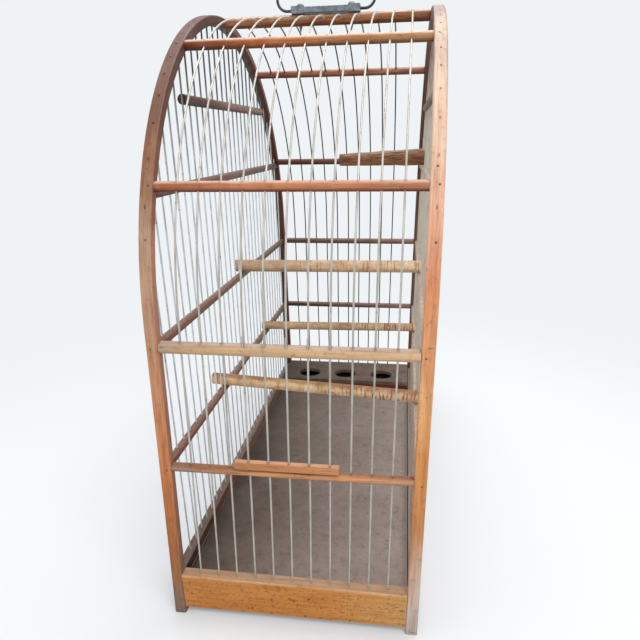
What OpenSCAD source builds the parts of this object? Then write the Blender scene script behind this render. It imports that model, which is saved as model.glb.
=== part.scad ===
// Arched bird cage of bent wood strips, turned rails and straight wires, with a lift-up wire door,
// notched perches, a feeder shelf, a slide-out floor tray and a folding carrying bail.
// X runs across the narrow way, Y along the arch, Z up; the four feet stand on Z = 0.

/* [Arched sides] */
// Clear width between the two arched sides
inner_w = 192; // [128:16:320]
// Bend radius of an arch, to the middle of its strip
arch_r = 240; // [225:1:260]
// Height of the bend's centre above the ground
arch_z = 244; // [235:1:280]
// Lean of the straight legs from upright, in degrees
leg_splay = 4; // [2:0.5:6]
// Width of an arch strip, across the cage
strip_w = 10; // [9:0.5:14]
// Thickness of an arch strip, through its bend
strip_t = 8; // [7:0.5:10]
// Rounding radius along a strip's edges
strip_edge_r = 1.5; // [0.5:0.1:2.5]

/* [Wires] */
// Spacing of the wires, on all faces
wire_pitch = 16; // [14:0.5:20]
// Diameter of a wire
wire_d = 1.5; // [1.2:0.1:2]
// Gap all round a wire in its drilled hole
wire_clear = 0.08; // [0.05:0.01:0.1]
// Depth to which a wire is let into the board below it
wire_seat = 14; // [8:1:20]
// Set-back of a wire's end below the outside of the arch
wire_setback = 0.4; // [0.2:0.1:1]
// Wood left under the foot of a wire in the left board
wire_floor = 2; // [1:0.5:3]

/* [Rails] */
// Diameter of a rail
rail_d = 7.5; // [7:0.5:9]
// Diameter of the ridge rail
ridge_d = 9.5; // [8:0.5:11]
// Diameter of the rail that guides the door
door_rail_d = 9.5; // [9:0.5:11]
// Drop of the roof rails below the ridge rail
roof_drop = 33; // [28:1:44]
// Drop of the shoulder rails below the ridge rail
shoulder_drop = 131; // [120:1:138]
// Height of the rail above the door and of the one opposite
door_rail_z = 242; // [230:0.5:250]
// Height of the sill rail below the door and of the one opposite
sill_rail_z = 142.5; // [125:0.5:150]
// Drop of the upper rails in the arched sides below the ridge rail
side_upper_drop = 136; // [132:0.5:148]
// Height of the middle rails in the arched sides
side_middle_z = 241; // [225:0.5:250]
// Height of the lower rails in the arched sides
side_lower_z = 142; // [125:0.5:150]

/* [Spacer sticks] */
// Diameter of the stick that spaces the wires under the arch
spacer_d = 8; // [6:0.5:9]
// Length of a spacer stick
spacer_l = 266; // [220:2:280]
// Drop of a spacer stick below the ridge rail
spacer_drop = 71; // [66:1:84]
// Offset of a spacer stick towards the back
spacer_shift = 5; // [0:1:6]

/* [Boards] */
// Thickness of the boards under the front and back wires
board_t = 10; // [8:0.5:12]
// Height of those boards' top edges
board_top_z = 41; // [36:1:46]
// Height of the lower edges of all boards
board_bottom_z = 6; // [4:1:10]
// Thickness of the boards in the arched sides
side_board_t = 8; // [6:0.5:9]
// Height of the side boards' top edges
side_board_top_z = 39; // [36:1:46]

/* [Door] */
// Number of door wires each side of the middle one
door_half_n = 2; // [1:1:3]
// Set-out of the door from the plane of the face wires
door_offset = 2.8; // [2.6:0.05:3]
// Height of the door's bottom bar
door_bar_h = 6; // [5:0.5:12]
// Thickness of the door's bottom bar
door_bar_t = 5.5; // [5:0.5:9]
// Shift of the bar to the left of the middle wire
door_bar_shift = 2; // [0:0.5:3]
// Length of bar past the outermost door wires
door_bar_past = 9; // [5:0.5:10]
// Running gap round a door wire in the rail that guides it
door_clear = 0.3; // [0.25:0.05:0.4]
// Length of the door wires above their guide rail
door_wire_past = 6; // [3:1:12]

/* [Perches] */
// Diameter of the middle perch
middle_perch_d = 13; // [9:0.5:13.5]
// Diameter of the lower perch near the door
front_perch_d = 12; // [9:0.5:13.5]
// Diameter of the lower perch near the feeder
back_perch_d = 10.5; // [8:0.5:13.5]
// Length of the middle perch past the left wires
middle_perch_past = 6; // [2:0.5:20]
// Length of the lower front perch past the left wires
front_perch_past = 11; // [2:0.5:20]
// Length of the lower back perch past the left wires
back_perch_past = 3; // [2:0.5:20]
// Length of perch that its notch carries past the right wires
notch_past = 1.5; // [1.25:0.25:3]
// Width of the saw notch at a perch's right end
notch_w = 2.4; // [2.2:0.1:3.2]
// Length of the bark branch
branch_l = 100; // [60:1:150]
// Diameter of the branch at its notched right end
branch_thick_d = 18.6; // [15:0.2:22]
// Diameter of the branch at its left end
branch_thin_d = 13.6; // [10:0.2:18]

/* [Feeder shelf] */
// Height of the shelf's top above the ground
shelf_z = 44; // [42:1:52]
// Thickness of the shelf
shelf_t = 5; // [4:0.5:6]
// Depth of the shelf, out from the back board
shelf_depth = 73; // [50:1:90]
// Diameter of a feeder hole
feeder_d = 33; // [20:0.5:36]
// Spacing of the feeder holes
feeder_pitch = 56; // [40:1:60]
// Distance of the feeder holes from the shelf's front edge
feeder_inset = 27; // [20:1:30]
// Thickness of the riser and the end cleats
riser_t = 6; // [4:0.5:8]

/* [Floor tray] */
// Height of the tray's floor above the ground
floor_z = 27.5; // [26:0.5:28]
// Thickness of the floor panel
floor_t = 3; // [2:0.5:4]
// Running gap round the tray
tray_clear = 0.5; // [0.3:0.1:1]
// Gap between the floor and the boards above it
slot_gap = 2.5; // [2:0.5:4]
// Width of a runner and of the tray's rear batten
batten_w = 10; // [6:0.5:14]
// Height of a runner
runner_h = 8; // [5:0.5:10]

/* [Handle] */
// Length of the handle's base bar
bar_l = 64; // [60:1:72]
// Width of the base bar
bar_w = 11; // [9:0.5:14]
// Thickness of the base bar
bar_h = 4.4; // [4:0.1:6]
// Thickness of the sheet clips round the bar's ends
clip_t = 0.8; // [0.6:0.1:1.2]
// Length of a clip
clip_l = 11; // [9.5:0.5:12]
// Distance of a screw from the bar's end
screw_inset = 8; // [7:0.25:8.5]
// Diameter of a screw's shank
screw_d = 3.4; // [3:0.1:3.8]
// Diameter of a screw's domed head
screw_head_d = 7.5; // [6:0.5:8.5]
// Length of screw below the ridge rail
screw_past = 5; // [3:0.5:8]
// Diameter of the bail's wire
bail_d = 2.5; // [2:0.1:2.8]
// Running gap round the bail's pins
bail_clear = 0.3; // [0.25:0.05:0.4]
// Wood left between a screw's shank and the end of the bail's pin
pin_wall = 0.8; // [0.6:0.1:1.5]
// Distance of the bail's sides from the bar's ends, to the middle of the wire
bail_past = 13.5; // [12.5:0.25:13.75]
// Height of the bail above its pins
bail_h = 46; // [35:1:70]
// Bend radius at the bail's lower corners
bail_low_r = 9; // [6:0.5:10]
// Bend radius at the bail's upper corners
bail_top_r = 14; // [8:1:20]

/* [Hidden] */
$fn = 48;
arc_fn = 240;

// Gap that keeps loose or turned pieces just off their seats
seat = 0.3;
// Amount by which a bend's section is smaller all round than that of the straight ends
hair = wire_d / 300;
// Margin by which a cutter runs past what it cuts
cut = 1;

half_w = inner_w / 2;
side_x = half_w + strip_w / 2;
arch_in_r = arch_r - strip_t / 2;
arch_out_r = arch_r + strip_t / 2;
ridge_z = arch_z + arch_r;
roof_rail_z = ridge_z - roof_drop;
shoulder_rail_z = ridge_z - shoulder_drop;
side_upper_z = ridge_z - side_upper_drop;
spacer_z = ridge_z - spacer_drop;
hole_d = wire_d + 2 * wire_clear;

// Where the straight legs meet the bend
tangent_y = arch_r * cos(leg_splay);
tangent_z = arch_z + arch_r * sin(leg_splay);

// Distance of the arch's middle line from the middle of the cage, and its lean, at a height
function arch_y(z) = z < tangent_z
  ? tangent_y + (tangent_z - z) * tan(leg_splay)
  : sqrt(max(0, arch_r * arch_r - (z - arch_z) * (z - arch_z)));
function arch_lean(z) = z < tangent_z ? leg_splay : asin(min(1, (z - arch_z) / arch_r));

// Wires of the narrow faces stand at whole pitches across X, those of the sides along Y
face_n = floor((half_w - wire_pitch / 2) / wire_pitch);
side_n = floor((arch_in_r - wire_pitch / 2) / wire_pitch);
face_wires = [for (k = [-face_n : face_n]) k];
door_wires_k = [for (k = [-door_half_n : door_half_n]) k];
hoop_wires_k = [for (k = face_wires) if (abs(k) > door_half_n) k];
side_wires = [for (k = [-side_n : side_n]) k];

// Height at which a side wire ends, just under the outside of the arch
function side_wire_top(k) =
  arch_z + sqrt(arch_out_r * arch_out_r - pow(abs(k) * wire_pitch + wire_d / 2, 2)) - wire_setback;

front_y = arch_y(board_top_z);
board_in_y = front_y - board_t / 2;
side_board_bottom_z = floor_z + slot_gap;
side_wire_foot = side_board_bottom_z + wire_floor;

sill_top = rail_d / 2;
door_rail_up = (door_rail_z - sill_rail_z) / cos(leg_splay);
door_bar_z = sill_top + seat;
door_bar_l = 2 * (door_half_n * wire_pitch + door_bar_past);
door_wire_top = door_rail_up + door_rail_d / 2 + door_wire_past;

side_rail_top = rail_d / 2;
perch_end_x = side_x + notch_past;

shelf_front_y = board_in_y - shelf_depth;
riser_h = shelf_z - shelf_t - floor_z - tray_clear;

tray_y = board_in_y - tray_clear;
runner_top = floor_z - floor_t - seat;

screw_x = bar_l / 2 - screw_inset;
bail_half_w = bar_l / 2 + bail_past;
clip_z = ridge_z + ridge_d / 2;
bar_z = clip_z + clip_t;
pin_z = bar_z + bar_h / 2;
clip_h = bar_h + 2 * clip_t;
screw_seat_z = clip_z + clip_h;
screw_head_h = screw_head_d * 0.36;
screw_tip_z = ridge_z - ridge_d / 2 - screw_past;
pin_in_x = screw_x + screw_d / 2 + pin_wall;

wood = "#c98a5a";
dark_wood = "#7a5038";
pale_wood = "#d2a878";
bark = "#6e4a2e";
board_wood = "#c88a42";
wire_grey = "#b8b4a4";
floor_grey = "#8a7f76";
iron = "#6a6e76";

// A rod between two points, thicker or thinner at its end if a second diameter is given
module rod(start, end, d, d_end = 0) {
  v = end - start;
  length = norm(v);
  translate(start)
    rotate([0, acos(v.z / length), atan2(v.y, v.x)])
      cylinder(h = length, d1 = d, d2 = d_end > 0 ? d_end : d);
}

// Turns a drawing in the YZ plane upright and sets it at a distance X
module side_plane(x) {
  translate([x, 0, 0]) rotate([90, 0, 90]) children();
}

// Sweeps one section round the bend and another down both legs, in a side plane.
// The bend's section is a hair smaller, so that the legs join it cleanly.
module arch_sweep(front_foot_z, back_foot_z) {
  translate([0, arch_z, 0])
    rotate([0, 0, leg_splay])
      rotate_extrude(angle = 180 - 2 * leg_splay, $fn = arc_fn)
        translate([arch_r, 0]) children(0);
  arch_leg(back_foot_z) children(1);
  mirror([1, 0, 0]) arch_leg(front_foot_z) children(1);
}

// One straight leg of the sweep, from the bend down to a height
module arch_leg(foot_z) {
  translate([tangent_y, tangent_z, 0])
    rotate([0, 0, leg_splay])
      rotate([90, 0, 0])
        linear_extrude((tangent_z - foot_z) / cos(leg_splay)) children();
}

// Cross-section of an arch strip, with rounded edges, made smaller by a hair all round
module strip_section(less) {
  in_t = strip_t / 2 - strip_edge_r;
  in_w = strip_w / 2 - strip_edge_r;
  square([strip_t - 2 * less, 2 * in_w], center = true);
  square([2 * in_t, strip_w - 2 * less], center = true);
  for (a = [-in_t, in_t], b = [-in_w, in_w])
    translate([a, b]) circle(r = strip_edge_r - less);
}

// The space inside an arch, less a gap, as a slab about its side plane
module arch_inside(gap, thickness) {
  r = arch_in_r - gap;
  top_y = r * cos(leg_splay);
  top_z = arch_z + r * sin(leg_splay);
  foot_y = top_y + top_z * tan(leg_splay);
  translate([0, 0, -thickness / 2])
    linear_extrude(thickness) {
      translate([0, arch_z]) circle(r = r, $fn = arc_fn);
      polygon([[-foot_y, 0], [foot_y, 0], [top_y, top_z], [-top_y, top_z]]);
    }
}

// Holes for the upright wires of one arched side
module side_wire_holes(x) {
  for (k = side_wires)
    translate([x, k * wire_pitch, side_wire_foot])
      cylinder(h = side_wire_top(k) + strip_t - side_wire_foot, d = hole_d);
}

module side_wire_set(x) {
  for (k = side_wires)
    translate([x, k * wire_pitch, side_wire_foot + seat])
      cylinder(h = side_wire_top(k) - side_wire_foot - seat, d = wire_d);
}

module arch(x) {
  color(wood)
    difference() {
      intersection() {
        side_plane(x)
          arch_sweep(-strip_t, -strip_t) {
            strip_section(hair);
            strip_section(0);
          }
        translate([x - strip_w, -2 * arch_r, 0]) cube([2 * strip_w, 4 * arch_r, 3 * arch_r]);
      }
      side_wire_holes(x);
    }
}

module arch_left() arch(-side_x);
module arch_right() arch(side_x);

// A rail across a narrow face, drilled square to the wires that it spaces.
// The side is -1 for the front and 1 for the back.
module face_rail(side, z, d, wires) {
  y = side * arch_y(z);
  difference() {
    rod([-half_w, y, z], [half_w, y, z], d);
    for (k = wires)
      translate([k * wire_pitch, y, z])
        rotate([side * arch_lean(z), 0, 0])
          translate([0, 0, -d]) cylinder(h = 2 * d, d = hole_d);
  }
}

module ridge_rail() {
  color(wood)
    difference() {
      face_rail(1, ridge_z, ridge_d, face_wires);
      for (x = [-screw_x, screw_x])
        translate([x, 0, ridge_z - ridge_d]) cylinder(h = 2 * ridge_d, d = screw_d + 2 * wire_clear);
    }
}

module front_roof_rail() color(wood) face_rail(-1, roof_rail_z, rail_d, face_wires);
module front_shoulder_rail() color(wood) face_rail(-1, shoulder_rail_z, rail_d, face_wires);
module back_roof_rail() color(dark_wood) face_rail(1, roof_rail_z, rail_d, face_wires);
module back_shoulder_rail() color(dark_wood) face_rail(1, shoulder_rail_z, rail_d, face_wires);
module back_middle_rail() color(dark_wood) face_rail(1, door_rail_z, rail_d, face_wires);
module back_lower_rail() color(dark_wood) face_rail(1, sill_rail_z, rail_d, face_wires);

// Sets children at the sill rail, with their Z up the face and -Y out of it
module on_face() {
  translate([0, -arch_y(sill_rail_z), sill_rail_z])
    rotate([-leg_splay, 0, 0]) children();
}

// A second row of holes in front of the first guides the door's wires
module front_door_rail() {
  color(pale_wood)
    difference() {
      face_rail(-1, door_rail_z, door_rail_d, hoop_wires_k);
      on_face() {
        for (k = door_wires_k) translate([k * wire_pitch, 0, door_rail_up]) {
          cylinder(h = door_rail_d, d = hole_d);
          translate([0, -door_offset, -door_rail_d])
            cylinder(h = 2 * door_rail_d, d = wire_d + 2 * door_clear);
        }
      }
    }
}

module front_sill_rail() {
  color(wood)
    difference() {
      face_rail(-1, sill_rail_z, rail_d, hoop_wires_k);
      on_face()
        for (k = door_wires_k)
          translate([k * wire_pitch, 0, -rail_d]) cylinder(h = rail_d + seat, d = hole_d);
    }
}

// A rail along an arched side, fitted between the legs and drilled for the wires
module side_rail(x, z, d) {
  difference() {
    intersection() {
      rod([x, -arch_r - strip_t, z], [x, arch_r + strip_t, z], d);
      side_plane(x) arch_inside(0, 2 * d);
    }
    side_wire_holes(x);
  }
}

module left_upper_rail() color(dark_wood) side_rail(-side_x, side_upper_z, rail_d);
module left_middle_rail() color(dark_wood) side_rail(-side_x, side_middle_z, rail_d);
module left_lower_rail() color(dark_wood) side_rail(-side_x, side_lower_z, rail_d);
module right_upper_rail() color(dark_wood) side_rail(side_x, side_upper_z, rail_d);
module right_middle_rail() color(dark_wood) side_rail(side_x, side_middle_z, rail_d);
module right_lower_rail() color(dark_wood) side_rail(side_x, side_lower_z, rail_d);

// The stick under the top of an arch touches only the wires that run through it
module spacer(x) {
  color(dark_wood)
    difference() {
      rod([x, spacer_shift - spacer_l / 2, spacer_z], [x, spacer_shift + spacer_l / 2, spacer_z], spacer_d);
      side_wire_holes(x);
    }
}

module left_spacer() spacer(-side_x);
module right_spacer() spacer(side_x);

// The board under the wires of a narrow face
module face_board(side) {
  color(board_wood)
    difference() {
      translate([-half_w, side * front_y - board_t / 2, board_bottom_z])
        cube([inner_w, board_t, board_top_z - board_bottom_z]);
      for (k = face_wires)
        translate([k * wire_pitch, side * front_y, board_top_z])
          rotate([side * leg_splay, 0, 0])
            translate([0, 0, -wire_seat]) cylinder(h = wire_seat + cut, d = hole_d);
    }
}

module front_board() face_board(-1);
module back_board() face_board(1);

// The board along the foot of an arched side, cut to fit between the legs
module side_board(x, bottom_z) {
  color(board_wood)
    difference() {
      intersection() {
        translate([x - side_board_t / 2, -arch_r - 3 * strip_t, bottom_z])
          cube([side_board_t, 2 * arch_r + 6 * strip_t, side_board_top_z - bottom_z]);
        side_plane(x) arch_inside(0, 2 * strip_w);
      }
      side_wire_holes(x);
    }
}

module left_board() side_board(-side_x, side_board_bottom_z);
module right_board() side_board(side_x, board_bottom_z);

// Height of the bottom end of a face wire in its board
face_wire_foot = board_top_z - (wire_seat - seat) * cos(leg_splay);

// One wire bent over the cage, down to a height at the front and one at the back
module bent_wire(k, front_foot_z, back_foot_z) {
  side_plane(k * wire_pitch)
    arch_sweep(front_foot_z, back_foot_z) {
      circle(d = wire_d - 2 * hair, $fn = 24);
      circle(d = wire_d);
    }
}

// Wires bent over the whole cage, from the front board over the ridge to the back board
module hoop_wires() {
  color(wire_grey)
    for (k = hoop_wires_k) bent_wire(k, face_wire_foot, face_wire_foot);
}

// Above the door the wires start in the door rail
module door_bay_wires() {
  color(wire_grey)
    for (k = door_wires_k) bent_wire(k, door_rail_z + seat, face_wire_foot);
}

// Below the door short wires join the front board to the sill rail
module sill_wires() {
  color(wire_grey)
    for (k = door_wires_k)
      rod([k * wire_pitch, -arch_y(face_wire_foot), face_wire_foot],
          [k * wire_pitch, -arch_y(sill_rail_z), sill_rail_z], wire_d);
}

module left_wires() color(wire_grey) side_wire_set(-side_x);
module right_wires() color(wire_grey) side_wire_set(side_x);

// The door is a bar on five wires that slide up through the rail above it
module door_bar() {
  color(wood)
    on_face()
      difference() {
        translate([-door_bar_l / 2 - door_bar_shift, -door_offset - door_bar_t / 2, door_bar_z])
          cube([door_bar_l, door_bar_t, door_bar_h]);
        for (k = door_wires_k)
          translate([k * wire_pitch, -door_offset, door_bar_z - cut])
            cylinder(h = door_bar_h + 2 * cut, d = hole_d);
      }
}

module door_wires() {
  color(wire_grey)
    on_face()
      for (k = door_wires_k)
        translate([k * wire_pitch, -door_offset, door_bar_z])
          cylinder(h = door_wire_top - door_bar_z, d = wire_d);
}

// Saw notch in the right end of a stick, over the right wire of a number
module wire_notch(wire_k, z, d) {
  translate([side_x - wire_d / 2 - seat, wire_k * wire_pitch - notch_w / 2, z - d])
    cube([2 * notch_past + wire_d, notch_w, 2 * d]);
}

// A perch pokes out between two left wires and is notched over a right wire.
// It lies on the rails of both sides at a height; the gap follows the left wire of that number.
module perch(rail_z, d, past, gap_k, wire_k) {
  z = rail_z + side_rail_top + d / 2 + seat;
  left_y = (gap_k + 0.5) * wire_pitch;
  right_y = wire_k * wire_pitch;
  slope = (right_y - left_y) / (2 * side_x);
  color(pale_wood)
    difference() {
      rod([-side_x - past, left_y - slope * past, z],
          [perch_end_x, right_y + slope * notch_past, z], d);
      wire_notch(wire_k, z, d);
    }
}

module middle_perch() perch(side_middle_z, middle_perch_d, middle_perch_past, 0, 1);
module front_perch() perch(side_lower_z, front_perch_d, front_perch_past, -6, -7);
module back_perch() perch(side_lower_z, back_perch_d, back_perch_past, 6, 7);

// A short piece of branch stands out from the right side. Its notched end is pressed over a
// wire and rests on the upper rail, its underside is level, and its left end is sawn square.
module bark_branch() {
  under_z = side_upper_z + side_rail_top + seat;
  wire_k = 6;
  color(bark)
    difference() {
      rod([perch_end_x - branch_l, wire_k * wire_pitch, under_z + branch_thin_d / 2],
          [perch_end_x, wire_k * wire_pitch, under_z + branch_thick_d / 2],
          branch_thin_d, branch_thick_d);
      wire_notch(wire_k, under_z + branch_thick_d / 2, branch_thick_d);
    }
}

// The shelf at the back has three holes for feeder cups
module feeder_shelf() {
  color(floor_grey)
    difference() {
      translate([-half_w, shelf_front_y, shelf_z - shelf_t]) cube([inner_w, shelf_depth, shelf_t]);
      for (i = [-1 : 1])
        translate([i * feeder_pitch, shelf_front_y + feeder_inset, shelf_z - shelf_t - cut])
          cylinder(h = shelf_t + 2 * cut, d = feeder_d);
    }
}

module feeder_riser() {
  color(bark)
    translate([-half_w, shelf_front_y, floor_z + tray_clear]) cube([inner_w, riser_t, riser_h]);
}

module feeder_cleats() {
  color(bark)
    for (x = [-half_w, half_w - riser_t])
      translate([x, shelf_front_y + riser_t, floor_z + tray_clear])
        cube([riser_t, shelf_depth - riser_t, riser_h]);
}

// Two runners on the face boards carry the tray
module tray_runners() {
  color(dark_wood)
    for (y = [-board_in_y, board_in_y - batten_w])
      translate([-half_w, y, runner_top - runner_h]) cube([inner_w, batten_w, runner_h]);
}

module tray_floor() {
  color(floor_grey)
    translate([-half_w, -tray_y, floor_z - floor_t])
      cube([inner_w - tray_clear, 2 * tray_y, floor_t]);
}

// The tray's front closes the slot under the left board, between the legs
module tray_front() {
  color(board_wood)
    intersection() {
      translate([-side_x - side_board_t / 2, -arch_r - 3 * strip_t, board_bottom_z])
        cube([side_x + side_board_t / 2 - half_w, 2 * arch_r + 6 * strip_t,
              side_board_bottom_z - tray_clear - board_bottom_z]);
      side_plane(-side_x) arch_inside(tray_clear, 2 * strip_w);
    }
}

module tray_batten() {
  color(dark_wood)
    translate([half_w - 2 * batten_w, batten_w + tray_clear - board_in_y, board_bottom_z])
      cube([batten_w, 2 * (board_in_y - batten_w - tray_clear), floor_z - floor_t - board_bottom_z]);
}

// The handle's bar lies on the ridge rail; the bail's pins turn in its ends
module handle_bar() {
  color(iron)
    difference() {
      translate([-bar_l / 2, -bar_w / 2, bar_z]) cube([bar_l, bar_w, bar_h]);
      for (x = [-screw_x, screw_x])
        translate([x, 0, bar_z - cut]) cylinder(h = bar_h + 2 * cut, d = screw_d + 2 * wire_clear);
      for (s = [-1, 1])
        translate([s * (bar_l / 2 + cut), 0, pin_z])
          rotate([0, -s * 90, 0])
            cylinder(h = bar_l / 2 + cut - pin_in_x + seat, d = bail_d + 2 * bail_clear);
    }
}

// Sheet clips folded round the bar's ends
module handle_clips() {
  color(iron)
    for (s = [-1, 1])
      translate([s * (bar_l / 2 - clip_l / 2), 0, clip_z])
        difference() {
          translate([-clip_l / 2, -bar_w / 2 - clip_t, 0]) cube([clip_l, bar_w + 2 * clip_t, clip_h]);
          translate([-clip_l / 2 - cut, -bar_w / 2, clip_t]) cube([clip_l + 2 * cut, bar_w, bar_h]);
          translate([s * (screw_x - bar_l / 2 + clip_l / 2), 0, -cut])
            cylinder(h = clip_h + 2 * cut, d = screw_d + 2 * wire_clear);
        }
}

// Pointed screws run through clip, bar and ridge rail, and their tips show below
module handle_screws() {
  point_h = screw_past;
  color(iron)
    for (x = [-screw_x, screw_x])
      translate([x, 0, 0]) {
        translate([0, 0, screw_tip_z]) cylinder(h = point_h, d1 = 0.4, d2 = screw_d);
        translate([0, 0, screw_tip_z + point_h])
          cylinder(h = screw_seat_z - screw_tip_z - point_h, d = screw_d);
        translate([0, 0, screw_seat_z])
          intersection() {
            translate([0, 0, screw_head_h - screw_head_d * 0.55]) sphere(d = 1.1 * screw_head_d);
            cylinder(h = screw_head_d, d = screw_head_d);
          }
      }
}

// A quarter bend of the bail's wire, from +X round to +Z in the XZ plane
module bail_bend(r) {
  rotate([90, 0, 0])
    rotate_extrude(angle = 90, $fn = arc_fn) translate([r, 0]) circle(d = bail_d);
}

module bail_half() {
  low_x = bail_half_w - bail_low_r;
  top_z = bail_h - bail_top_r;
  translate([pin_in_x, 0, 0]) rotate([0, 90, 0]) cylinder(h = low_x - pin_in_x, d = bail_d);
  translate([low_x, 0, bail_low_r]) mirror([0, 0, 1]) bail_bend(bail_low_r);
  translate([bail_half_w, 0, bail_low_r]) cylinder(h = top_z - bail_low_r, d = bail_d);
  translate([bail_half_w - bail_top_r, 0, top_z]) bail_bend(bail_top_r);
  translate([0, 0, bail_h]) rotate([0, 90, 0]) cylinder(h = bail_half_w - bail_top_r, d = bail_d);
}

module handle_bail() {
  color("#3c3c3c")
    translate([0, 0, pin_z]) {
      bail_half();
      mirror([1, 0, 0]) bail_half();
    }
}

arch_left();
arch_right();
ridge_rail();
front_roof_rail();
front_shoulder_rail();
front_door_rail();
front_sill_rail();
back_roof_rail();
back_shoulder_rail();
back_middle_rail();
back_lower_rail();
left_upper_rail();
left_middle_rail();
left_lower_rail();
left_spacer();
right_upper_rail();
right_middle_rail();
right_lower_rail();
right_spacer();
front_board();
back_board();
left_board();
right_board();
hoop_wires();
door_bay_wires();
sill_wires();
left_wires();
right_wires();
door_bar();
door_wires();
middle_perch();
front_perch();
back_perch();
bark_branch();
feeder_shelf();
feeder_riser();
feeder_cleats();
tray_runners();
tray_floor();
tray_front();
tray_batten();
handle_bar();
handle_clips();
handle_screws();
handle_bail();
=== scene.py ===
import math

import bmesh
import bpy
from mathutils import Matrix, Vector, noise


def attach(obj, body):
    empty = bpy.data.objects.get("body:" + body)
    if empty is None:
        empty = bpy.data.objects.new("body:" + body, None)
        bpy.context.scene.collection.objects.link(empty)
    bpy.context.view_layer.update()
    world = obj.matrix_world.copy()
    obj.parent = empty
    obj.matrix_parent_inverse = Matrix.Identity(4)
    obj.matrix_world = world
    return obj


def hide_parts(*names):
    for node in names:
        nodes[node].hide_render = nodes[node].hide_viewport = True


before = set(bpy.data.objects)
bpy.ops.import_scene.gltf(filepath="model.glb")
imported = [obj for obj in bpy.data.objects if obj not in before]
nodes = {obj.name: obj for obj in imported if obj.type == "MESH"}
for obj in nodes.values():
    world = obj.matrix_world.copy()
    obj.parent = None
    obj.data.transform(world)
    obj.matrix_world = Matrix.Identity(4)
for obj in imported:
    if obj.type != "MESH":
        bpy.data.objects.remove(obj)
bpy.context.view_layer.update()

# ---------------------------------------------------------------- Arched sides
# Two strips of ash or beech, steamed and bent into a tall arch with splayed legs, then drilled right through
# for the side wires. Their old varnish is orange-brown and greyed at the feet. The right arch is paler,
# partly as a painted highlight on its upper part. The faces towards X carry painted light and shade, and the
# inside of both is painted dark as shade.

ARCH_MIDDLE_Z = 0.244
ARCH_RADIUS = 0.240
ARCH_X = 0.101
STRIP_THICK = 0.008
LEG_SPLAY = math.radians(4)
# The straight legs meet the bend here.
ARCH_BEND_Z = 0.2607
# A strip's tones cover this height, and patches shift them over this span, half up and half down.
TONE_TOP = 0.5
TONE_WANDER = 0.09
# A pattern along the grain is drawn out to twenty times its width.
GRAIN_SHARE = 0.05


def linear(hex_colour):
    """An sRGB hex colour as the linear one that Blender's sockets take."""
    parts = [int(hex_colour[i:i + 2], 16) / 255 for i in (1, 3, 5)]
    return (*[p / 12.92 if p <= 0.04045 else ((p + 0.055) / 1.055) ** 2.4 for p in parts], 1.0)


def feed(tree, node, inputs):
    """Fills sockets of a node with values or links."""
    for key, value in inputs.items():
        if isinstance(value, bpy.types.NodeSocket):
            tree.links.new(value, node.inputs[key])
        else:
            node.inputs[key].default_value = value


def add(tree, kind, inputs=None, stops=None, **settings):
    """Adds a node, sets its properties, fills its sockets, and places the colours of a ramp at
    their stops."""
    made = tree.nodes.new(kind)
    for key, value in settings.items():
        setattr(made, key, value)
    feed(tree, made, inputs or {})
    if stops:
        marks = made.color_ramp.elements
        while len(marks) < len(stops):
            marks.new(1.0)
        for mark, (at, hex_colour) in zip(marks, stops):
            mark.position = at
            mark.color = linear(hex_colour)
    return made


def new_finish(name):
    """An empty material with its surface shader, ready for the nodes of one finish."""
    finish = bpy.data.materials.new(name)
    finish.use_nodes = True
    return finish, finish.node_tree, finish.node_tree.nodes["Principled BSDF"]


def paint(node_names, finish):
    """Gives a finish to CAD nodes."""
    for name in node_names:
        nodes[name].data.materials.clear()
        nodes[name].data.materials.append(finish)


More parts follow.
